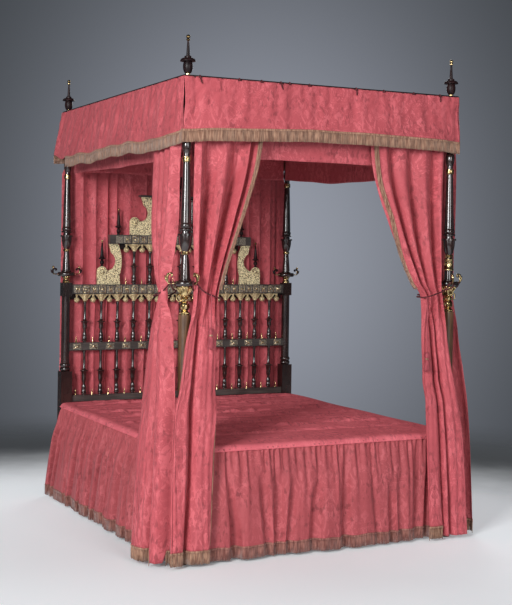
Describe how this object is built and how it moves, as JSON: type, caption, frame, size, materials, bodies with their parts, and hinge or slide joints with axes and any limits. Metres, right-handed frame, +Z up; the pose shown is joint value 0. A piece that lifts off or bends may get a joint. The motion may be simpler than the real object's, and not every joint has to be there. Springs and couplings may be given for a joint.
{
  "type": "four-poster bed",
  "caption": "Four-poster bed with turned dark posts, spindle headboard with gilt mounts, tester, fringed damask valances, tied curtains and a gathered coverlet.",
  "frame": {"origin": "on the floor under the middle of the bed", "axes": "+Z up, head of the bed towards +Y, foot towards -Y, +X to the right seen from the foot"},
  "size_m": [2.003, 2.1166, 2.6233],
  "materials": {
    "dark_wood": "polished, near black",
    "frame_wood": "plain oiled",
    "gilt_brass": "gilt, worn",
    "pale_gilt": "pierced, pale gilt",
    "steel": "dull",
    "damask": "silk damask",
    "lining": "plain weave",
    "ticking": "cotton ticking",
    "cord": "twisted silk"
  },
  "bodies": {
    "root": {"bed_bolts": "steel", "bed_rails": "frame_wood", "bed_slats": "frame_wood", "cap_spindles": "dark_wood", "coverlet_skirts": "damask", "coverlet_top": "damask", "crest_cap": "dark_wood", "crest_finial_tips": "gilt_brass", "crest_finials": "dark_wood", "crest_rail": "dark_wood", "crest_spindles": "dark_wood", "curtain_foot_left": "damask", "curtain_foot_right": "damask", "curtain_hooks": "gilt_brass", "curtain_rings": "steel", "curtain_rods": "steel", "curtain_side_left": "damask", "curtain_side_right": "damask", "head_curtain": "damask", "headboard_lower_rail": "dark_wood", "headboard_mid_rail": "dark_wood", "headboard_pendants": "gilt_brass", "headboard_top_rail": "dark_wood", "inner_valances": "damask", "lower_scroll_brackets": "pale_gilt", "lower_spindles": "dark_wood", "mattress": "ticking", "post_capitals": "gilt_brass", "post_lower_foot_left": "dark_wood", "post_lower_foot_right": "dark_wood", "post_lower_head_left": "dark_wood", "post_lower_head_right": "dark_wood", "post_rings": "gilt_brass", "post_upper_foot_left": "dark_wood", "post_upper_foot_right": "dark_wood", "post_upper_head_left": "dark_wood", "post_upper_head_right": "dark_wood", "rail_aprons": "gilt_brass", "rail_plaques": "pale_gilt", "rail_spikes": "gilt_brass", "tester_cloth": "lining", "tester_frame": "dark_wood", "tie_back_cords": "cord", "upper_scroll_brackets": "pale_gilt", "upper_spindles": "dark_wood", "valance_foot": "damask", "valance_head": "damask", "valance_left": "damask", "valance_right": "damask"},
    "finial_foot_left": {"finial_foot_left": "dark_wood", "finial_brass_foot_left": "gilt_brass"},
    "finial_foot_right": {"finial_foot_right": "dark_wood", "finial_brass_foot_right": "gilt_brass"},
    "finial_head_left": {"finial_head_left": "dark_wood", "finial_brass_head_left": "gilt_brass"},
    "finial_head_right": {"finial_head_right": "dark_wood", "finial_brass_head_right": "gilt_brass"},
    "tassel_left": {"tassel_left": "cord"},
    "tassel_right": {"tassel_right": "cord"}
  },
  "joints": [
    {"name": "finial_foot_left_lift", "type": "slide", "parent": "root", "child": "finial_foot_left", "axis": [0, 0, 1], "range_m": [0, 0.08]},
    {"name": "finial_foot_right_lift", "type": "slide", "parent": "root", "child": "finial_foot_right", "axis": [0, 0, 1], "range_m": [0, 0.08]},
    {"name": "finial_head_left_lift", "type": "slide", "parent": "root", "child": "finial_head_left", "axis": [0, 0, 1], "range_m": [0, 0.08]},
    {"name": "finial_head_right_lift", "type": "slide", "parent": "root", "child": "finial_head_right", "axis": [0, 0, 1], "range_m": [0, 0.08]},
    {"name": "tassel_left_swing", "type": "hinge", "parent": "root", "child": "tassel_left", "pos_m": [-0.678, -1.0513, 1.3373], "axis": [-1, 0, 0], "range_deg": [0, 40]},
    {"name": "tassel_right_swing", "type": "hinge", "parent": "root", "child": "tassel_right", "pos_m": [0.596, -1.0513, 1.3222], "axis": [-1, 0, 0], "range_deg": [0, 40]}
  ]
}
